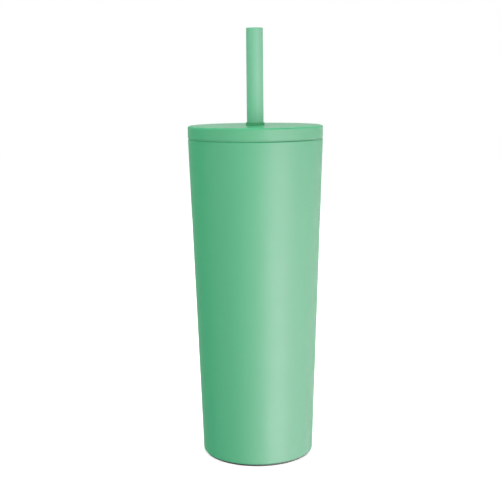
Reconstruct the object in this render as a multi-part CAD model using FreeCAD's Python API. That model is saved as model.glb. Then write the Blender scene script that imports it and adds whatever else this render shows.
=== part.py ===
import FreeCAD, Part

import math
import os

# Insulated straw tumbler: a double-walled vacuum cup of steel, a press-in plastic lid and a straight straw.
# Millimetres, +Z up. The origin is the centre of the foot, on the surface that the cup stands on.
# Nearly every piece is turned about Z, so each is drawn as its right-hand half-section, in (radius, height).

# ---------------------------------------------------------------- driving dimensions

# The lid's visible disc
LID_RADIUS = 45.0
LID_TOP_Z = 224.5
LID_RIM_HEIGHT = 7.9
LID_TOP_EDGE = 1.2
LID_LOWER_EDGE = 0.35
SEAM_GAP = 0.9                  # open groove between the lid's rim and the cup's lip

# The cup's outside: a straight taper from the foot to the lip
FOOT_RADIUS = 37.67             # radius of the taper carried down to the table
TAPER = 0.0339                  # radius gained per millimetre of height
HEEL_EDGE = 1.0
PAD_THICKNESS = 1.4
PAD_RADIUS = 36.9
PAD_EDGE = 1.35                 # the pad's outer edge is rounded nearly to its full thickness

# The straw
STRAW_RADIUS = 5.55
STRAW_WALL = 1.1
STRAW_TOP_Z = 288.1
STRAW_FOOT_Z = 19.0
STRAW_TIP_EDGE = 0.5

# Sheet steel and the vacuum space
STEEL = 0.5
VACUUM_GAP = 4.2
LIP_WIDTH = 1.8                 # drinking lip, outer face to inner face
LIP_EDGE = 0.6
FIT_LINE = 0.02                 # gap left between curved faces that are welded, pressed or glued together
SEAL_CLEARANCE = 0.08           # silicone to steel, all round
STRAW_CLEARANCE = 0.06          # grommet to straw, all round

# Heights inside the cup
SHOULDER_TOP_Z = 203.0          # the mouth is straight above this
SHOULDER_FOOT_Z = 191.0         # and the vacuum wall has its full depth below this
SHOULDER_BEND = 12.0
LINER_WELD_Z = 22.0             # the liner's wall is welded to its bottom pan here
FLOOR_Z = 15.0                  # inside floor at its edge
FLOOR_STEP = 1.0                # the middle of the floor stands this much higher
FLOOR_STEP_RADIUS = 22.0
VACUUM_BASE_Z = 10.0

# Lid mouldings
LID_PLATE = 2.0
LID_SKIRT_INNER = 43.0
PLUG_FOOT_Z = 204.5
PLUG_WALL = 1.8
PLUG_RADIUS = 39.6
PLUG_RIB_RADIUS = 42.0
PLUG_RIB = 1.2
SEAL_GROOVE_Z = 208.5
SEAL_GROOVE_HEIGHT = 4.0
FLANGE_RADIUS = 44.65
LID_SEAT_GAP = 0.05             # lid flange to steel lip, so that the two only just part
STRAW_CHANNEL = 7.0             # inner radius of the plug's middle tube
CHANNEL_FLANGE = 11.2
COLLAR_RADIUS = 6.3             # the grommet's neck, which shows round the straw
COLLAR_HEIGHT = 2.0
GROMMET_FLANGE = 9.5
VENT_RADIUS = 1.0
VENT_Y = 24.0

UP = FreeCAD.Vector(0, 0, 1)
CENTRE = FreeCAD.Vector(0, 0, 0)

# Heights worked out from the dimensions above
lid_rim_z = LID_TOP_Z - LID_RIM_HEIGHT
lip_z = lid_rim_z - SEAM_GAP
cap_underside_z = LID_TOP_Z - LID_PLATE
channel_top_z = cap_underside_z - 3.2


# ---------------------------------------------------------------- radii of the two walls


def cup_radius(z):
    """Outer radius of the outer shell."""
    return FOOT_RADIUS + TAPER * z


def mouth_radius(z):
    """Inner radius of the straight mouth that the lid's plug enters."""
    return cup_radius(z) - LIP_WIDTH


def liner_radius(z):
    """Inner radius of the liner below the shoulder."""
    return cup_radius(z) - STEEL - VACUUM_GAP - STEEL


# ---------------------------------------------------------------- drawing helpers


def unit(a, b):
    length = math.hypot(b[0] - a[0], b[1] - a[1])
    return (b[0] - a[0]) / length, (b[1] - a[1]) / length


def outline(corners):
    """A closed wire through corners (radius, height[, rounding]), each rounded by a true arc."""

    def at(point):
        return FreeCAD.Vector(point[0], 0, point[1])

    bends = []
    for i, corner in enumerate(corners):
        rounding = corner[2] if len(corner) > 2 else 0.0
        if rounding == 0.0:
            bends.append((corner, None, corner))
            continue
        back = unit(corner, corners[i - 1])
        ahead = unit(corner, corners[(i + 1) % len(corners)])
        half = math.acos(back[0] * ahead[0] + back[1] * ahead[1]) / 2
        reach = rounding / math.tan(half)
        rise = rounding / math.sin(half) - rounding
        middle = unit((0, 0), (back[0] + ahead[0], back[1] + ahead[1]))
        bends.append(
            (
                (corner[0] + back[0] * reach, corner[1] + back[1] * reach),
                (corner[0] + middle[0] * rise, corner[1] + middle[1] * rise),
                (corner[0] + ahead[0] * reach, corner[1] + ahead[1] * reach),
            )
        )
    edges = []
    for i, (start, middle, end) in enumerate(bends):
        if middle is not None:
            edges.append(Part.Arc(at(start), at(middle), at(end)).toShape())
        following = bends[(i + 1) % len(bends)][0]
        if at(end).distanceToPoint(at(following)) > 1e-6:
            edges.append(Part.LineSegment(at(end), at(following)).toShape())
    return Part.Wire(edges)


def sheet(path, thickness):
    """Half-section of sheet metal: one face follows path, and the metal lies to the left of it."""
    other_face = []
    for i, point in enumerate(path):
        before = unit(path[i - 1], point) if i > 0 else unit(point, path[1])
        after = unit(point, path[i + 1]) if i < len(path) - 1 else before
        share = thickness / (1 + before[0] * after[0] + before[1] * after[1])
        turn = before[0] * after[1] - before[1] * after[0]
        radius = point[0] - (before[1] + after[1]) * share
        height = point[1] + (before[0] + after[0]) * share
        rounding = point[2] - math.copysign(thickness, turn) if len(point) > 2 else 0.0
        other_face.append((radius, height, rounding))
    return list(path) + other_face[::-1]


def turned(corners, angle=360.0):
    """The solid swept by a half-section about Z."""
    return Part.Face(outline(corners)).revolve(CENTRE, UP, angle)


def save(name, shape):
    if not shape.isValid() or len(shape.Solids) != 1:
        raise ValueError(f"{name} is not one sound solid")
    shape.exportStep(f"parts/{name}.step")


# ---------------------------------------------------------------- cup


def outer_shell():
    """Coated outside wall, rolled over at the lip and turned in under the heel."""
    lip_middle = cup_radius(lip_z) - LIP_WIDTH / 2
    turned_in_edge = 35.15
    under_heel_to_lip = [
        (turned_in_edge, PAD_THICKNESS),
        (cup_radius(PAD_THICKNESS), PAD_THICKNESS, HEEL_EDGE),
        (cup_radius(lip_z), lip_z, LIP_EDGE),
        (lip_middle, lip_z),
    ]
    return turned(sheet(under_heel_to_lip, STEEL))


def inner_liner():
    """Bare steel wall that holds the drink, opened out at a shoulder to make the mouth and half the lip."""
    lip_to_weld = [
        (cup_radius(lip_z) - LIP_WIDTH / 2, lip_z),
        (mouth_radius(lip_z), lip_z, LIP_EDGE),
        (mouth_radius(SHOULDER_TOP_Z), SHOULDER_TOP_Z, SHOULDER_BEND),
        (liner_radius(SHOULDER_FOOT_Z), SHOULDER_FOOT_Z, SHOULDER_BEND),
        (liner_radius(LINER_WELD_Z), LINER_WELD_Z),
    ]
    return turned(sheet(lip_to_weld, STEEL))


def liner_bottom():
    """Pressed pan that closes the liner, with a raised middle."""
    corner = 5.4
    step_slope = 2.0
    step_bend = 1.2
    weld_to_axis = [
        (liner_radius(LINER_WELD_Z), LINER_WELD_Z),
        (liner_radius(FLOOR_Z), FLOOR_Z, corner),
        (FLOOR_STEP_RADIUS + step_slope, FLOOR_Z, step_bend),
        (FLOOR_STEP_RADIUS, FLOOR_Z + FLOOR_STEP, step_bend),
        (0.0, FLOOR_Z + FLOOR_STEP),
    ]
    return turned(sheet(weld_to_axis, STEEL))


def radiation_foil():
    """Copper foil wrapped round the liner inside the vacuum, with a narrow open seam at the back."""
    thickness = 0.08
    low, high = 24.0, 188.0
    seam_degrees = 4.0
    foil = [
        (liner_radius(low) + STEEL + FIT_LINE, low),
        (liner_radius(low) + STEEL + FIT_LINE + thickness, low),
        (liner_radius(high) + STEEL + FIT_LINE + thickness, high),
        (liner_radius(high) + STEEL + FIT_LINE, high),
    ]
    wrap = turned(foil, 360.0 - seam_degrees)
    wrap.rotate(CENTRE, UP, 90.0 + seam_degrees / 2)
    return wrap


DIMPLE_RADIUS = 5.0
DIMPLE_DEPTH = 1.2
DIMPLE_SLOPE = 1.5
EVACUATION_HOLE = 0.75


def vacuum_base():
    """Plate that closes the vacuum space, with the evacuation hole in a dimple at its middle."""
    rim_foot_z = 4.5
    rim_bend = 1.5
    dimple_bend = 0.8
    gap_to_axis = STEEL + FIT_LINE
    shell_to_hole = [
        (cup_radius(rim_foot_z) - gap_to_axis, rim_foot_z),
        (cup_radius(VACUUM_BASE_Z) - gap_to_axis, VACUUM_BASE_Z, rim_bend),
        (DIMPLE_RADIUS + DIMPLE_SLOPE, VACUUM_BASE_Z, dimple_bend),
        (DIMPLE_RADIUS, VACUUM_BASE_Z + DIMPLE_DEPTH, dimple_bend),
        (EVACUATION_HOLE, VACUUM_BASE_Z + DIMPLE_DEPTH),
    ]
    return turned(sheet(shell_to_hole, STEEL))


def vacuum_seal():
    """Bead of sealing glass, melted into the dimple and up the evacuation hole."""
    top = VACUUM_BASE_Z + DIMPLE_DEPTH
    plate_underside = top - STEEL
    bead_radius = 3.0
    bead_foot_z = plate_underside - 1.1
    return turned(
        [
            (0.0, top),
            (0.0, bead_foot_z),
            (bead_radius * 0.75, bead_foot_z, 0.9),
            (bead_radius, plate_underside),
            (EVACUATION_HOLE - FIT_LINE, plate_underside),
            (EVACUATION_HOLE - FIT_LINE, top),
        ]
    )


GETTER_Y = 20.0
GETTER_RADIUS = 4.5
GETTER_HEIGHT = 1.7
CLIP_SHEET = 0.3


def getter_holder():
    """Small clip, spot-welded to the vacuum base, whose turned-in lip holds the getter pellet."""
    outside = GETTER_RADIUS + 0.1 + CLIP_SHEET
    top_z = VACUUM_BASE_Z + GETTER_HEIGHT + 0.1 + 2 * CLIP_SHEET
    bend = 0.5
    floor_to_lip = [
        (0.0, VACUUM_BASE_Z),
        (outside, VACUUM_BASE_Z, bend),
        (outside, top_z, bend),
        (GETTER_RADIUS - 1.0, top_z),
    ]
    clip = turned(sheet(floor_to_lip, CLIP_SHEET))
    clip.translate(FreeCAD.Vector(0, GETTER_Y, 0))
    return clip


def getter_pellet():
    """Pressed metal-powder pellet that soaks up what gas is left in the vacuum."""
    foot_z = VACUUM_BASE_Z + CLIP_SHEET
    edge = 0.3
    pellet = turned(
        [
            (0.0, foot_z),
            (GETTER_RADIUS, foot_z, edge),
            (GETTER_RADIUS, foot_z + GETTER_HEIGHT, edge),
            (0.0, foot_z + GETTER_HEIGHT),
        ]
    )
    pellet.translate(FreeCAD.Vector(0, GETTER_Y, 0))
    return pellet


COVER_RADIUS = 35.13
ADHESIVE = 0.15


def base_cover():
    """Shallow steel cup pressed in under the vacuum base to protect its seal."""
    wall_top_z = 7.0
    underside = PAD_THICKNESS + ADHESIVE
    bend = 0.6
    return turned(sheet([(0.0, underside), (COVER_RADIUS, underside, bend), (COVER_RADIUS, wall_top_z)], STEEL))


def pad_adhesive():
    """Double-sided adhesive disc between the base cover and the pad."""
    radius = 34.0
    top = PAD_THICKNESS + ADHESIVE
    return turned([(0.0, PAD_THICKNESS), (radius, PAD_THICKNESS), (radius, top), (0.0, top)])


def base_pad():
    """Silicone foot that the cup stands on, with shallow grip grooves underneath."""
    groove_radii = (12.0, 19.0, 26.0)
    groove_width = 1.6
    groove_depth = 0.35
    section = [(0.0, PAD_THICKNESS), (0.0, 0.0)]
    for radius in groove_radii:
        section += [
            (radius, 0.0),
            (radius, groove_depth),
            (radius + groove_width, groove_depth),
            (radius + groove_width, 0.0),
        ]
    section += [(PAD_RADIUS, 0.0, PAD_EDGE), (PAD_RADIUS, PAD_THICKNESS)]
    return turned(section)


# ---------------------------------------------------------------- lid


def vent(foot_z, top_z, radius):
    """Upright cylinder at the place of the lid's air vent."""
    return Part.makeCylinder(radius, top_z - foot_z, FreeCAD.Vector(0, VENT_Y, foot_z), UP)


def lid_cap():
    """Flat round top of the lid, with its rim and a short collar that locates the grommet."""
    hole = COLLAR_RADIUS + FIT_LINE
    pocket = GROMMET_FLANGE + 0.2
    inner_corner = 1.5
    small_corner = 0.5
    cap = turned(
        [
            (hole, LID_TOP_Z),
            (hole, cap_underside_z),
            (pocket, cap_underside_z),
            (pocket, channel_top_z),
            (CHANNEL_FLANGE, channel_top_z),
            (CHANNEL_FLANGE, cap_underside_z, small_corner),
            (LID_SKIRT_INNER, cap_underside_z, inner_corner),
            (LID_SKIRT_INNER, lid_rim_z),
            (LID_RADIUS, lid_rim_z, LID_LOWER_EDGE),
            (LID_RADIUS, LID_TOP_Z, LID_TOP_EDGE),
        ]
    )
    return cap.cut(vent(cap_underside_z - 1, LID_TOP_Z + 1, VENT_RADIUS))


def lid_plug():
    """Lower half of the lid: a hollow bowl that enters the mouth, seats on the lip and carries the seal."""
    flange_z = lip_z + LID_SEAT_GAP
    floor_z = PLUG_FOOT_Z + PLUG_WALL
    inner_radius = PLUG_RADIUS - PLUG_WALL
    tube_outer = STRAW_CHANNEL + 1.6
    tube_flange_z = channel_top_z - 1.5
    spigot_outer = LID_SKIRT_INNER - 0.1
    spigot_inner = spigot_outer - 1.6
    spigot_top_z = lid_rim_z + 2.0
    lower_rib_z = SEAL_GROOVE_Z - PLUG_RIB
    upper_rib_z = SEAL_GROOVE_Z + SEAL_GROOVE_HEIGHT
    rib_edge = 0.4
    plug = turned(
        [
            (STRAW_CHANNEL, PLUG_FOOT_Z, 0.5),
            (PLUG_RADIUS, PLUG_FOOT_Z, 1.5),
            (PLUG_RADIUS, lower_rib_z),
            (PLUG_RIB_RADIUS, lower_rib_z, rib_edge),
            (PLUG_RIB_RADIUS, SEAL_GROOVE_Z, rib_edge),
            (PLUG_RADIUS, SEAL_GROOVE_Z),
            (PLUG_RADIUS, upper_rib_z),
            (PLUG_RIB_RADIUS, upper_rib_z, rib_edge),
            (PLUG_RIB_RADIUS, upper_rib_z + PLUG_RIB, rib_edge),
            (PLUG_RADIUS, upper_rib_z + PLUG_RIB, 0.5),
            (PLUG_RADIUS, flange_z, 0.5),
            (FLANGE_RADIUS, flange_z, 0.3),
            (FLANGE_RADIUS, lid_rim_z),
            (spigot_outer, lid_rim_z),
            (spigot_outer, spigot_top_z, 0.3),
            (spigot_inner, spigot_top_z, 0.3),
            (spigot_inner, lid_rim_z),
            (inner_radius, lid_rim_z, 0.5),
            (inner_radius, floor_z, 1.0),
            (tube_outer, floor_z, 1.0),
            (tube_outer, tube_flange_z),
            (CHANNEL_FLANGE, tube_flange_z),
            (CHANNEL_FLANGE, channel_top_z),
            (STRAW_CHANNEL, channel_top_z),
        ]
    )
    vent_tube = vent(floor_z - 1, cap_underside_z, VENT_RADIUS + 1.2)
    return plug.fuse(vent_tube).cut(vent(PLUG_FOOT_Z - 1, cap_underside_z + 1, VENT_RADIUS)).removeSplitter()


def lid_gasket():
    """Silicone ring in the plug's groove, with two soft fins that wipe the mouth."""
    inside = PLUG_RADIUS + FIT_LINE
    spine = 41.2
    foot_z = SEAL_GROOVE_Z + 0.05
    top_z = SEAL_GROOVE_Z + SEAL_GROOVE_HEIGHT - 0.05
    fin = 1.0
    tip = 0.3
    tip_edge = 0.12
    section = [(inside, top_z), (inside, foot_z), (spine, foot_z)]
    for fin_z in (SEAL_GROOVE_Z + 0.35, SEAL_GROOVE_Z + 2.45):
        tip_radius = mouth_radius(fin_z) - SEAL_CLEARANCE
        section += [
            (spine, fin_z),
            (tip_radius, fin_z + fin - tip, tip_edge),
            (tip_radius, fin_z + fin, tip_edge),
            (spine, fin_z + fin),
        ]
    section.append((spine, top_z))
    return turned(section)


def straw_grommet():
    """Silicone bush held between cap and plug; its neck stands up as a low collar round the straw."""
    bore = STRAW_RADIUS + STRAW_CLEARANCE
    relief = STRAW_RADIUS + 0.5
    sleeve = STRAW_CHANNEL - FIT_LINE
    sleeve_foot_z = channel_top_z - 5.8
    lower_wiper_z = sleeve_foot_z + 1.2
    upper_wiper_z = channel_top_z + 1.4
    collar_top_z = LID_TOP_Z + COLLAR_HEIGHT
    lead = 0.5
    return turned(
        [
            (bore, collar_top_z, 0.12),
            (bore, upper_wiper_z),
            (relief, upper_wiper_z - lead),
            (relief, lower_wiper_z + lead),
            (bore, lower_wiper_z),
            (bore, sleeve_foot_z, 0.2),
            (sleeve, sleeve_foot_z, 0.4),
            (sleeve, channel_top_z),
            (GROMMET_FLANGE, channel_top_z, 0.3),
            (GROMMET_FLANGE, cap_underside_z, 0.3),
            (COLLAR_RADIUS, cap_underside_z),
            (COLLAR_RADIUS, LID_TOP_Z),
            (COLLAR_RADIUS - 0.2, collar_top_z, 0.25),
        ]
    )


# ---------------------------------------------------------------- straw


def straw_tube():
    """Straight rigid straw, rounded at the drinking end."""
    bore = STRAW_RADIUS - STRAW_WALL
    foot_edge = 0.2
    return turned(
        [
            (bore, STRAW_FOOT_Z, foot_edge),
            (STRAW_RADIUS, STRAW_FOOT_Z, foot_edge),
            (STRAW_RADIUS, STRAW_TOP_Z, STRAW_TIP_EDGE),
            (bore, STRAW_TOP_Z, STRAW_TIP_EDGE),
        ]
    )


def straw_stop():
    """Silicone ring near the straw's foot; it is too wide for the plug's tube, so the straw can't pull out."""
    inside = STRAW_RADIUS + FIT_LINE
    radius = STRAW_CHANNEL + 0.6
    foot_z = STRAW_FOOT_Z + 5.0
    top_z = foot_z + 4.0
    edge = 0.6
    return turned([(inside, foot_z), (radius, foot_z, edge), (radius, top_z, edge), (inside, top_z)])


PIECES = (
    outer_shell,
    inner_liner,
    liner_bottom,
    radiation_foil,
    vacuum_base,
    vacuum_seal,
    getter_holder,
    getter_pellet,
    base_cover,
    pad_adhesive,
    base_pad,
    lid_cap,
    lid_plug,
    lid_gasket,
    straw_grommet,
    straw_tube,
    straw_stop,
)

os.makedirs("parts", exist_ok=True)
for piece in PIECES:
    save(piece.__name__, piece())
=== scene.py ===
import math

import bmesh
import bpy
from mathutils import Matrix, Vector


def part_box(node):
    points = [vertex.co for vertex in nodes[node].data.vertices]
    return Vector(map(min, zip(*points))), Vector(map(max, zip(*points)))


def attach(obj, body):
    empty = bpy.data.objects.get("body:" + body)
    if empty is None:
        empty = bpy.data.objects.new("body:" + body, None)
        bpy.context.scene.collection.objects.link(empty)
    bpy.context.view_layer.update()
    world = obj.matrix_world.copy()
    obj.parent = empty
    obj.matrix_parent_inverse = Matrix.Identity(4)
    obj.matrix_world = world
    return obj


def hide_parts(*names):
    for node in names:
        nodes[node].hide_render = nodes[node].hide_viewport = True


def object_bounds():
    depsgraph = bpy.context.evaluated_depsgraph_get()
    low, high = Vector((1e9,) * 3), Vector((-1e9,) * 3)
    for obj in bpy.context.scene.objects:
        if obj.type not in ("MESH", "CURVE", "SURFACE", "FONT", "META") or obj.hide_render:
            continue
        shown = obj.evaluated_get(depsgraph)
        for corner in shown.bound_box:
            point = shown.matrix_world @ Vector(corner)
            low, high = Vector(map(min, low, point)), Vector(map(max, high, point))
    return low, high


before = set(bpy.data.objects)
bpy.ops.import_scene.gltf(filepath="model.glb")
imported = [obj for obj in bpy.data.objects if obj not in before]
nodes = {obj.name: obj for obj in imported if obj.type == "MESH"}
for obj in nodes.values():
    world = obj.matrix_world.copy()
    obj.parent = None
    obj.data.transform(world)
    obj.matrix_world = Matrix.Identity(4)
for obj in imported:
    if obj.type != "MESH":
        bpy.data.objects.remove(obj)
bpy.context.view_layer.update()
scene = bpy.context.scene

MM = 0.001

# ---------------------------------------------------------------- camera

# A long lens a little above the lid, turned and tilted by small angles, as on a tripod.
CAMERA_DISTANCE = 0.6879
CAMERA_HEIGHT = 0.2529
CAMERA_PITCH = math.radians(9.295)
CAMERA_YAW = math.radians(0.361)
CAMERA_ROLL = math.radians(0.565)
LENS = 73.86
SENSOR = 36.0


def make_camera():
    data = bpy.data.cameras.new("camera")
    data.sensor_width = SENSOR
    data.lens = LENS
    data.clip_start = 0.01
    data.clip_end = 50.0
    camera = bpy.data.objects.new("camera", data)
    scene.collection.objects.link(camera)
    yaw = Matrix.Rotation(CAMERA_YAW, 4, "Z")
    pitch = Matrix.Rotation(math.pi / 2 - CAMERA_PITCH, 4, "X")
    roll = Matrix.Rotation(-CAMERA_ROLL, 4, "Z")
    place = Matrix.Translation(Vector((0.0, -CAMERA_DISTANCE, CAMERA_HEIGHT)))
    camera.matrix_world = place @ yaw @ pitch @ roll
    scene.camera = camera


# ---------------------------------------------------------------- turned pieces

TURNS = 256
# Sharp corners are rounded this much, as moulds and presses leave them.
EDGE_BREAK = 0.14 * MM
# An extra ring this close to each bend keeps flats flat in the shading.
SUPPORT = 0.3 * MM
LONGEST_STEP = 9.0 * MM
SHARP_TURN = math.radians(24)
STRAIGHT_TURN = math.radians(0.5)
WELD_DISTANCE = 2e-6
TINY = 1e-7


def section_of(node):
    """The half-section of a turned CAD node: ordered (radius, height) points, and if they close."""
    cut = bmesh.new()
    cut.from_mesh(nodes[node].data)
    bmesh.ops.remove_doubles(cut, verts=cut.verts, dist=WELD_DISTANCE)
    everything = cut.verts[:] + cut.edges[:] + cut.faces[:]
    bmesh.ops.bisect_plane(
        cut, geom=everything, plane_co=(0, 0, 0), plane_no=(1, 0, 0), clear_inner=True, dist=TINY
    )
    everything = cut.verts[:] + cut.edges[:] + cut.faces[:]
    found = bmesh.ops.bisect_plane(
        cut, geom=everything, plane_co=(0, 0, 0), plane_no=(0, 1, 0), dist=TINY
    )
    beside = {}
    for edge in found["geom_cut"]:
        if isinstance(edge, bmesh.types.BMEdge):
            a, b = edge.verts
            beside.setdefault(a, []).append(b)
            beside.setdefault(b, []).append(a)
    ends = [v for v in beside if len(beside[v]) == 1]
    start = max(ends or beside, key=lambda v: v.co.z)
    chain, here, last = [start], start, None
    while True:
        onward = [v for v in beside[here] if v is not last and v is not start]
        if not onward:
            break
        last, here = here, onward[0]
        chain.append(here)
    points = [Vector((v.co.x, v.co.z)) for v in chain]
    closed = not ends
    cut.free()
    return points, closed


def neighbours(points, i, closed):
    if closed:
        return points[i - 1], points[(i + 1) % len(points)]
    return (points[i - 1] if i else None), (points[i + 1] if i < len(points) - 1 else None)


def without_straight_points(points, closed):
    kept = []
    for i, here in enumerate(points):
        before, after = neighbours(points, i, closed)
        if before is None or after is None:
            kept.append(here)
        elif (here - before).angle(after - here, 0.0) > STRAIGHT_TURN:
            kept.append(here)
    return kept


def with_soft_corners(points, closed):
    """Rounds each sharp corner by a small arc of three points."""
    softened = []
    for i, here in enumerate(points):
        before, after = neighbours(points, i, closed)
        at_end = before is None or after is None
        if at_end or (here - before).angle(after - here, 0.0) < SHARP_TURN:
            softened.append(here)
            continue
        reach = min(EDGE_BREAK, 0.4 * (here - before).length, 0.4 * (after - here).length)
        start = here + (before - here).normalized() * reach
        end = here + (after - here).normalized() * reach
        softened += [start, (start + end) * 0.25 + here * 0.5, end]
    return softened


def with_support(points, closed):
    """Adds rings beside each bend and along each long stretch."""
    supported = []
    count = len(points) if closed else len(points) - 1
    for i in range(count):
        here, after = points[i], points[(i + 1) % len(points)]
        length = (after - here).length
        supported.append(here)
        if length > 3 * SUPPORT:
            inner = length - 2 * SUPPORT
            steps = max(1, math.ceil(inner / LONGEST_STEP))
            for k in range(steps + 1):
                supported.append(here.lerp(after, (SUPPORT + inner * k / steps) / length))
    if not closed:
        supported.append(points[-1])
    return supported


def turn(name, points, closed):
    """A mesh object: the half-section swept round Z in fine, even steps."""
    mesh = bmesh.new()
    rings = []
    for radius, height in points:
        if radius < TINY:
            rings.append([mesh.verts.new((0.0, 0.0, height))])
            continue
        ring = []
        for k in range(TURNS):
            a = 2 * math.pi * k / TURNS
            ring.append(mesh.verts.new((radius * math.cos(a), radius * math.sin(a), height)))
        rings.append(ring)
    following = rings[1:] + rings[:1] if closed else rings[1:]
    for one, other in zip(rings, following):
        for k in range(TURNS):
            m = (k + 1) % TURNS
            corners = []
            for ring, order in ((one, (k, m)), (other, (m, k))):
                corners += [ring[0]] if len(ring) == 1 else [ring[j] for j in order]
            mesh.faces.new(corners)
    bmesh.ops.recalc_face_normals(mesh, faces=mesh.faces)
    data = bpy.data.meshes.new(name)
    mesh.to_mesh(data)
    mesh.free()
    data.shade_smooth()
    piece = bpy.data.objects.new(name, data)
    scene.collection.objects.link(piece)
    return piece


def turned_piece(name, node):
    points, closed = section_of(node)
    points = without_straight_points(points, closed)
    points = with_soft_corners(points, closed)
    return turn(name, with_support(points, closed), closed)


# ---------------------------------------------------------------- materials

WHITE = (1.0, 1.0, 1.0, 1.0)
STEEL = (0.62, 0.615, 0.60)
STEEL_LINES = (0.5, 0.495, 0.48)

LID_TOP_DEPTH = 0.05 * MM       # below this depth the lid is no longer its flat top
LID_TOP_FADE = 0.03 * MM
LID_TOP_SMOOTHNESS = 0.5        # the flat top's roughness as a share of the sides'


class Surface:
    """A Principled material, varied by noise in the piece's own coordinates."""

    def __init__(self, name, colour, roughness, metallic=0.0):
        self.material = bpy.data.materials.new(name)
        self.material.use_nodes = True
        self.tree = self.material.node_tree
        self.shader = self.tree.nodes["Principled BSDF"]
        self.shader.inputs["Base Color"].default_value = (*colour, 1.0)
        self.shader.inputs["Roughness"].default_value = roughness
        self.shader.inputs["Metallic"].default_value = metallic
        self.place = self.tree.nodes.new("ShaderNodeTexCoord").outputs["Object"]
        self.relief = None

    def link(self, a, b):
        self.tree.links.new(a, b)

    def noise(self, size, stretch=(1, 1, 1), detail=3.0, across=None):
        """Noise from 0 to 1. Size is that of its blobs; stretch lengthens them along an axis."""
        mapping = self.tree.nodes.new("ShaderNodeMapping")
        mapping.inputs["Scale"].default_value = [1.0 / (size * s) for s in stretch]
        self.link(across or self.place, mapping.inputs["Vector"])
        noise = self.tree.nodes.new("ShaderNodeTexNoise")
        noise.inputs["Scale"].default_value = 1.0
        noise.inputs["Detail"].default_value = detail
        self.link(mapping.outputs["Vector"], noise.inputs["Vector"])
        return noise.outputs["Fac"]

    def remap(self, value, low, high, start=0.3, end=0.7):
        ramp = self.tree.nodes.new("ShaderNodeMapRange")
        ramp.inputs["From Min"].default_value = start
        ramp.inputs["From Max"].default_value = end
        ramp.inputs["To Min"].default_value = low
        ramp.inputs["To Max"].default_value = high
        self.link(value, ramp.inputs["Value"])
        return ramp.outputs["Result"]

    def mix_colour(self, factor, other):
        """Blends the colour so far towards another by a 0 to 1 factor."""
        mix = self.tree.nodes.new("ShaderNodeMix")
        mix.data_type = "RGBA"
        self.link(factor, mix.inputs["Factor"])
        socket = self.shader.inputs["Base Color"]
        if socket.is_linked:
            self.link(socket.links[0].from_socket, mix.inputs["A"])
        else:
            mix.inputs["A"].default_value = socket.default_value
        mix.inputs["B"].default_value = (*other, 1.0)
        self.link(mix.outputs["Result"], socket)

    def vary_gloss(self, value, low, high):
        self.link(self.remap(value, low, high), self.shader.inputs["Roughness"])

    def smoother_above(self, gloss, height, fade, share):
        """Multiplies a roughness by share from a height upwards, faded in over a short way."""
        parts = self.tree.nodes.new("ShaderNodeSeparateXYZ")
        self.link(self.place, parts.inputs["Vector"])
        factor = self.remap(parts.outputs["Z"], 1.0, share, height, height + fade)
        product = self.tree.nodes.new("ShaderNodeMath")
        product.operation = "MULTIPLY"
        self.link(gloss, product.inputs[0])
        self.link(factor, product.inputs[1])
        return product.outputs["Value"]

    def emboss(self, value, depth, strength=1.0):
        bump = self.tree.nodes.new("ShaderNodeBump")
        bump.inputs["Strength"].default_value = strength
        bump.inputs["Distance"].default_value = depth
        self.link(value, bump.inputs["Height"])
        if self.relief is not None:
            self.link(self.relief, bump.inputs["Normal"])
        self.relief = bump.outputs["Normal"]
        self.link(self.relief, self.shader.inputs["Normal"])

    def set(self, **sockets):
        for socket, value in sockets.items():
            self.shader.inputs[socket.replace("_", " ")].default_value = value
        return self


def powder_coat():
    """Matte mint powder coat: fine orange peel with a finer grain in it, and slightly
    uneven pigment.
    """
    coat = Surface("mint_powder_coat", (0.049, 0.40, 0.181), 0.5)
    coat.mix_colour(coat.remap(coat.noise(18 * MM), 0.0, 0.35), (0.055, 0.42, 0.193))
    coat.mix_colour(coat.remap(coat.noise(0.5 * MM), 0.0, 0.3), (0.043, 0.37, 0.164))
    coat.vary_gloss(coat.noise(7 * MM), 0.47, 0.53)
    coat.emboss(coat.noise(1.3 * MM, detail=1.0), 0.010 * MM)
    coat.emboss(coat.noise(0.28 * MM, detail=2.0), 0.004 * MM)
    return coat.material


def lid_plastic(name, colour):
    """Moulded satin plastic with a spark-eroded grain; its flat top is smoother than its sides."""
    plastic = Surface(name, colour, 0.5)
    darker = tuple(c * 0.9 for c in colour)
    plastic.mix_colour(plastic.remap(plastic.noise(14 * MM), 0.0, 0.3), darker)
    gloss = plastic.remap(plastic.noise(9 * MM), 0.46, 0.54)
    flat_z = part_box("lid_cap")[1].z - LID_TOP_DEPTH
    gloss = plastic.smoother_above(gloss, flat_z, LID_TOP_FADE, LID_TOP_SMOOTHNESS)
    plastic.link(gloss, plastic.shader.inputs["Roughness"])
    plastic.emboss(plastic.noise(0.35 * MM, detail=2.0), 0.005 * MM)
    return plastic.material


def straw_plastic():
    """Extruded plastic: faint draw lines along its length."""
    colour = (0.14, 0.48, 0.28)
    plastic = Surface("straw_plastic", colour, 0.5)
    lines = plastic.noise(0.6 * MM, stretch=(1, 1, 120))
    plastic.mix_colour(plastic.remap(lines, 0.0, 0.3), (0.10, 0.39, 0.215))
    plastic.vary_gloss(plastic.noise(5 * MM), 0.46, 0.54)
    plastic.emboss(plastic.noise(0.4 * MM, stretch=(1, 1, 150), detail=1.0), 0.004 * MM)
    return plastic.material


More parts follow.
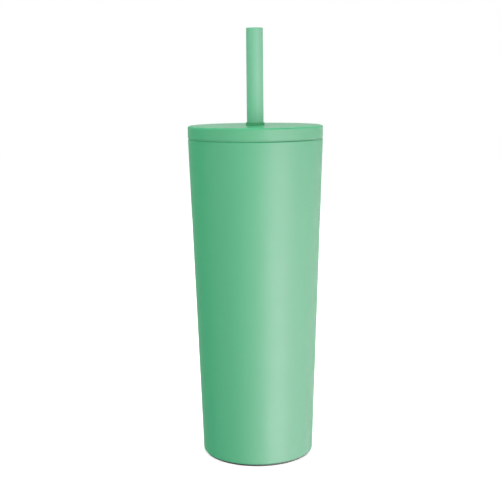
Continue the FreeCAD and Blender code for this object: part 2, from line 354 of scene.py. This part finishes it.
def silicone(name, colour, roughness=0.55, dust=0.15, dust_colour=(0.4, 0.42, 0.41)):
    """Soft silicone: a dull skin with a fine grain and specks of dust."""
    rubber = Surface(name, colour, roughness)
    specks = rubber.noise(0.9 * MM, detail=4.0)
    rubber.mix_colour(rubber.remap(specks, 0.0, dust, 0.55, 0.8), dust_colour)
    rubber.vary_gloss(rubber.noise(4 * MM), roughness - 0.06, roughness + 0.06)
    rubber.emboss(rubber.noise(0.3 * MM), 0.006 * MM)
    return rubber.material


def brushed_steel():
    """Bare stainless steel, spun: fine lines run round it."""
    steel = Surface("spun_steel", STEEL, 0.28, metallic=1.0)
    lines = steel.noise(0.12 * MM, stretch=(160, 160, 1), detail=4.0)
    steel.mix_colour(steel.remap(lines, 0.0, 0.35), STEEL_LINES)
    steel.vary_gloss(lines, 0.22, 0.36)
    steel.emboss(lines, 0.003 * MM)
    return steel.material


def spun_floor():
    """The same steel where it is flat: the lines are rings about the middle."""
    steel = Surface("spun_steel_flat", STEEL, 0.3, metallic=1.0)
    flat = steel.tree.nodes.new("ShaderNodeVectorMath")
    flat.operation = "MULTIPLY"
    flat.inputs[1].default_value = (1, 1, 0)
    steel.link(steel.place, flat.inputs[0])
    radius = steel.tree.nodes.new("ShaderNodeVectorMath")
    radius.operation = "LENGTH"
    steel.link(flat.outputs["Vector"], radius.inputs[0])
    joined = steel.tree.nodes.new("ShaderNodeCombineXYZ")
    steel.link(radius.outputs["Value"], joined.inputs["X"])
    rings = steel.noise(0.15 * MM, detail=4.0, across=joined.outputs["Vector"])
    steel.mix_colour(steel.remap(rings, 0.0, 0.35), STEEL_LINES)
    steel.vary_gloss(rings, 0.24, 0.38)
    steel.emboss(rings, 0.003 * MM)
    return steel.material


def copper_foil():
    foil = Surface("copper_foil", (0.78, 0.36, 0.2), 0.3, metallic=1.0)
    foil.mix_colour(foil.remap(foil.noise(12 * MM), 0.0, 0.5), (0.6, 0.27, 0.16))
    foil.vary_gloss(foil.noise(6 * MM), 0.25, 0.42)
    foil.emboss(foil.noise(5 * MM, detail=5.0), 0.08 * MM)
    return foil.material


def getter_metal():
    metal = Surface("getter_metal", (0.2, 0.2, 0.21), 0.75, metallic=0.6)
    metal.mix_colour(metal.remap(metal.noise(0.2 * MM), 0.0, 0.7), (0.1, 0.1, 0.11))
    metal.emboss(metal.noise(0.15 * MM), 0.02 * MM)
    return metal.material


def sealing_glass():
    glass = Surface("sealing_glass", (0.12, 0.14, 0.13), 0.12)
    glass.mix_colour(glass.remap(glass.noise(1.0 * MM), 0.0, 0.5), (0.2, 0.22, 0.2))
    glass.emboss(glass.noise(1.5 * MM), 0.02 * MM)
    return glass.material


def adhesive():
    tape = Surface("adhesive", (0.8, 0.79, 0.74), 0.6)
    tape.mix_colour(tape.remap(tape.noise(2.5 * MM), 0.0, 0.4), (0.7, 0.68, 0.6))
    tape.emboss(tape.noise(0.6 * MM), 0.02 * MM)
    return tape.material


# ---------------------------------------------------------------- the object


def dress(piece, material):
    piece.data.materials.clear()
    piece.data.materials.append(material)


def stand_in(node, body, material):
    """A finely turned piece that shows in place of its CAD node."""
    piece = turned_piece(f"{node}_turned", node)
    dress(piece, material)
    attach(piece, body)
    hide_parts(node)
    return piece


def applied(piece):
    """Applies the piece's modifiers to its mesh."""
    depsgraph = bpy.context.evaluated_depsgraph_get()
    mesh = bpy.data.meshes.new_from_object(piece.evaluated_get(depsgraph))
    piece.modifiers.clear()
    piece.data = mesh


VENT_RADIUS = 1.0 * MM
VENT_Y = 24.0 * MM


def drill_vent(piece):
    """Cuts the air vent through a lid moulding."""
    low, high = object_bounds()
    drill_data = bmesh.new()
    bmesh.ops.create_cone(
        drill_data,
        segments=48,
        radius1=VENT_RADIUS,
        radius2=VENT_RADIUS,
        depth=high.z,
        cap_ends=True,
        matrix=Matrix.Translation(Vector((0.0, VENT_Y, high.z / 2))),
    )
    mesh = bpy.data.meshes.new("vent_drill")
    drill_data.to_mesh(mesh)
    drill_data.free()
    drill = bpy.data.objects.new("vent_drill", mesh)
    scene.collection.objects.link(drill)
    cut = piece.modifiers.new("vent", "BOOLEAN")
    cut.operation = "DIFFERENCE"
    cut.solver = "EXACT"
    cut.object = drill
    applied(piece)
    bpy.data.objects.remove(drill)


def build_object():
    steel, floor_steel = brushed_steel(), spun_floor()
    green_silicone = silicone("grommet_silicone", (0.045, 0.31, 0.13), 0.7, dust=0.05)
    stand_in("outer_shell", "cup", powder_coat())
    stand_in("inner_liner", "cup", steel)
    stand_in("liner_bottom", "cup", floor_steel)
    stand_in("base_cover", "cup", floor_steel)
    pad_silicone = silicone("pad_silicone", (0.018, 0.02, 0.02), 0.6)
    stand_in("base_pad", "cup", pad_silicone)
    cap_plastic = lid_plastic("lid_plastic", (0.058, 0.41, 0.185))
    cap = stand_in("lid_cap", "lid", cap_plastic)
    gasket_silicone = silicone("gasket_silicone", (0.72, 0.75, 0.73), 0.45)
    stand_in("lid_gasket", "lid", gasket_silicone)
    stand_in("straw_grommet", "lid", green_silicone)
    stand_in("straw_tube", "straw", straw_plastic())
    stand_in("straw_stop", "straw", green_silicone)
    drill_vent(cap)
    dress(nodes["lid_plug"], lid_plastic("plug_plastic", (0.06, 0.38, 0.17)))
    dress(nodes["radiation_foil"], copper_foil())
    dress(nodes["vacuum_base"], floor_steel)
    dress(nodes["vacuum_seal"], sealing_glass())
    dress(nodes["getter_holder"], steel)
    dress(nodes["getter_pellet"], getter_metal())
    dress(nodes["pad_adhesive"], adhesive())


# ---------------------------------------------------------------- studio

FLOOR_SIZE = 6.0
FLOOR_DROP = 0.02 * MM          # keeps the floor clear of the pad
FLOOR_GLOW = 0.55
FILL = 0.55                     # even light from all round, which the matt colour takes
PANEL_DISTANCE = 1.2
STRIP_WIDTH = 20                # degrees
WALL_FOOT = -1.2
# The bright walls stop just under the lid's top, which would mirror them from behind.
FRONT_WALL_TOP = 0.224
BACK_WALL_TOP = 1.6
SOFTBOX_WIDTH = 40              # degrees
SOFTBOX_FOOT = -0.3
SOFTBOX_TOP = 1.3
OVERHEAD_HEIGHT = 1.5
OVERHEAD_SIZE = 0.7


def make_floor():
    mesh = bpy.data.meshes.new("floor")
    half = FLOOR_SIZE / 2
    corners = [(-half, -half, 0), (half, -half, 0), (half, half, 0), (-half, half, 0)]
    mesh.from_pydata(corners, [], [(0, 1, 2, 3)])
    floor = bpy.data.objects.new("floor", mesh)
    scene.collection.objects.link(floor)
    floor.location.z = -FLOOR_DROP
    floor.visible_diffuse = False
    floor.visible_glossy = False
    floor.visible_shadow = False
    paper = Surface("white_floor", (0.8, 0.8, 0.8), 0.9)
    paper.set(Emission_Color=WHITE, Emission_Strength=FLOOR_GLOW, Specular_IOR_Level=0.0)
    dress(floor, paper.material)


def make_world():
    world = bpy.data.worlds.new("studio")
    scene.world = world
    world.use_nodes = True
    tree = world.node_tree
    seen = tree.nodes["Background"]
    seen.inputs["Color"].default_value = WHITE
    seen.inputs["Strength"].default_value = 1.0
    fill = tree.nodes.new("ShaderNodeBackground")
    fill.inputs["Color"].default_value = WHITE
    fill.inputs["Strength"].default_value = FILL
    mix = tree.nodes.new("ShaderNodeMixShader")
    path = tree.nodes.new("ShaderNodeLightPath")
    tree.links.new(path.outputs["Is Camera Ray"], mix.inputs["Fac"])
    tree.links.new(fill.outputs["Background"], mix.inputs[1])
    tree.links.new(seen.outputs["Background"], mix.inputs[2])
    tree.links.new(mix.outputs["Shader"], tree.nodes["World Output"].inputs["Surface"])
    world.cycles_visibility.glossy = False


def strip(name, azimuth, width, radiance, low, high, gloss, mirrored=True):
    """An upright soft light. Azimuth 0 is behind the camera, turning towards +X; width is
    an angle.
    """
    a = math.radians(azimuth)
    across = 2 * PANEL_DISTANCE * math.tan(math.radians(width) / 2)
    data = bpy.data.lights.new(name, "AREA")
    data.shape = "RECTANGLE"
    data.size = across
    data.size_y = high - low
    data.energy = radiance * math.pi * across * (high - low)
    data.cycles.use_multiple_importance_sampling = mirrored
    light = bpy.data.objects.new(name, data)
    middle = (low + high) / 2
    light.location = (PANEL_DISTANCE * math.sin(a), -PANEL_DISTANCE * math.cos(a), middle)
    light.rotation_euler = (math.pi / 2, 0.0, a)
    light.visible_camera = False
    light.visible_diffuse = not gloss
    light.visible_glossy = gloss
    scene.collection.objects.link(light)


def reflector(name, start, end, radiance, mirrored=False, foot=WALL_FOOT):
    """A curved white wall from one azimuth to another, seen only as a reflection.

    A mirrored one is sampled in both ways, which a smooth surface at a low angle needs. On
    the bright walls that would add light to the colour as well.
    """
    top = BACK_WALL_TOP if mirrored else FRONT_WALL_TOP
    count = math.ceil((end - start) / STRIP_WIDTH)
    width = (end - start) / count
    for k in range(count):
        azimuth = start + (k + 0.5) * width
        strip(f"{name}_{k}", azimuth, width, radiance, foot, top, True, mirrored)


def softbox(name, azimuth, radiance):
    """A lamp that brightens the colour of what it falls on, and leaves no highlight."""
    strip(name, azimuth, SOFTBOX_WIDTH, radiance, SOFTBOX_FOOT, SOFTBOX_TOP, False)


def overhead(name, radiance):
    data = bpy.data.lights.new(name, "AREA")
    data.shape = "DISK"
    data.size = OVERHEAD_SIZE
    data.energy = radiance * math.pi * math.pi * (OVERHEAD_SIZE / 2) ** 2
    light = bpy.data.objects.new(name, data)
    light.location = (0.0, 0.0, OVERHEAD_HEIGHT)
    light.visible_camera = False
    light.visible_glossy = False
    scene.collection.objects.link(light)


def light_studio():
    reflector("left_wall", -90, -30, 0.62)
    reflector("front_wall", -30, 0, 3.47)
    reflector("near_key_wall", 0, 20, 4.03)
    reflector("key_wall", 20, 40, 13.44)
    reflector("far_key_wall", 40, 60, 10.08)
    reflector("side_wall", 60, 100, 5.49)
    reflector("back_right_wall", 100, 140, 2.91)
    reflector("back_wall", 140, 165, 0.9, mirrored=True)
    reflector("rear_wall", 165, 195, 0.55, mirrored=True)
    reflector("back_left_wall", 195, 225, 0.8, mirrored=True)
    reflector("upper_wall", -90, 140, 0.7, mirrored=True, foot=FRONT_WALL_TOP)
    softbox("right_softbox", 45, 2.15)
    softbox("left_softbox", -60, 2.15)
    softbox("back_softbox", 170, 1.6)
    overhead("overhead_softbox", 8.8)


make_camera()
build_object()
make_floor()
make_world()
light_studio()
scene.view_settings.view_transform = "Standard"
scene.view_settings.look = "None"
